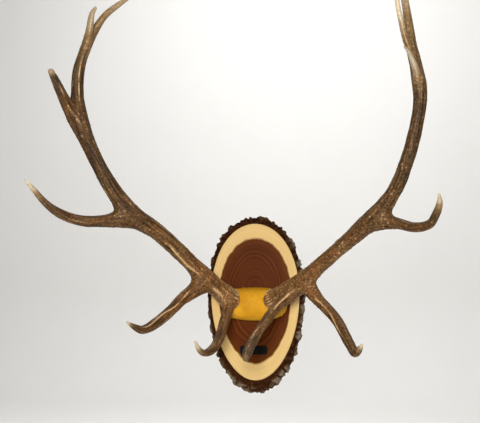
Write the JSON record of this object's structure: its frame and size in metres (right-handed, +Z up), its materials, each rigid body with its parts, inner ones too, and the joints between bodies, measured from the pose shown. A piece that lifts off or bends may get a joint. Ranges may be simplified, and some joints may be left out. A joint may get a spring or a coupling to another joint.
{
  "type": "elk antler wall mount",
  "caption": "Pair of branching elk antlers on a leather-covered skull plate, fixed to an oval bark-edged log slice that hangs flat on a wall.",
  "frame": {"origin": "on the wall, behind the middle of the log slice's front face", "axes": "+Y into the wall, +X to the viewer's right, +Z up"},
  "size_m": [0.9848, 0.6328, 1.1283],
  "materials": {
    "wood": "satin varnish over dark heartwood and cream sapwood",
    "bark": "rough furrowed bark",
    "leather": "soft matt golden leather",
    "plate": "bare black gloss",
    "antler": "grained brown antler with pale worn tips"
  },
  "bodies": {
    "root": {"plaque_wood": "wood", "bark": "bark", "leather_cover": "leather", "nameplate": "plate", "left_main_beam": "antler", "left_brow_tine": "antler", "left_bez_tine": "antler", "left_trez_tine": "antler", "left_royal_tine": "antler", "left_surroyal_tine": "antler", "right_main_beam": "antler", "right_brow_tine": "antler", "right_bez_tine": "antler", "right_trez_tine": "antler", "right_royal_tine": "antler", "right_surroyal_tine": "antler"}
  },
  "joints": []
}
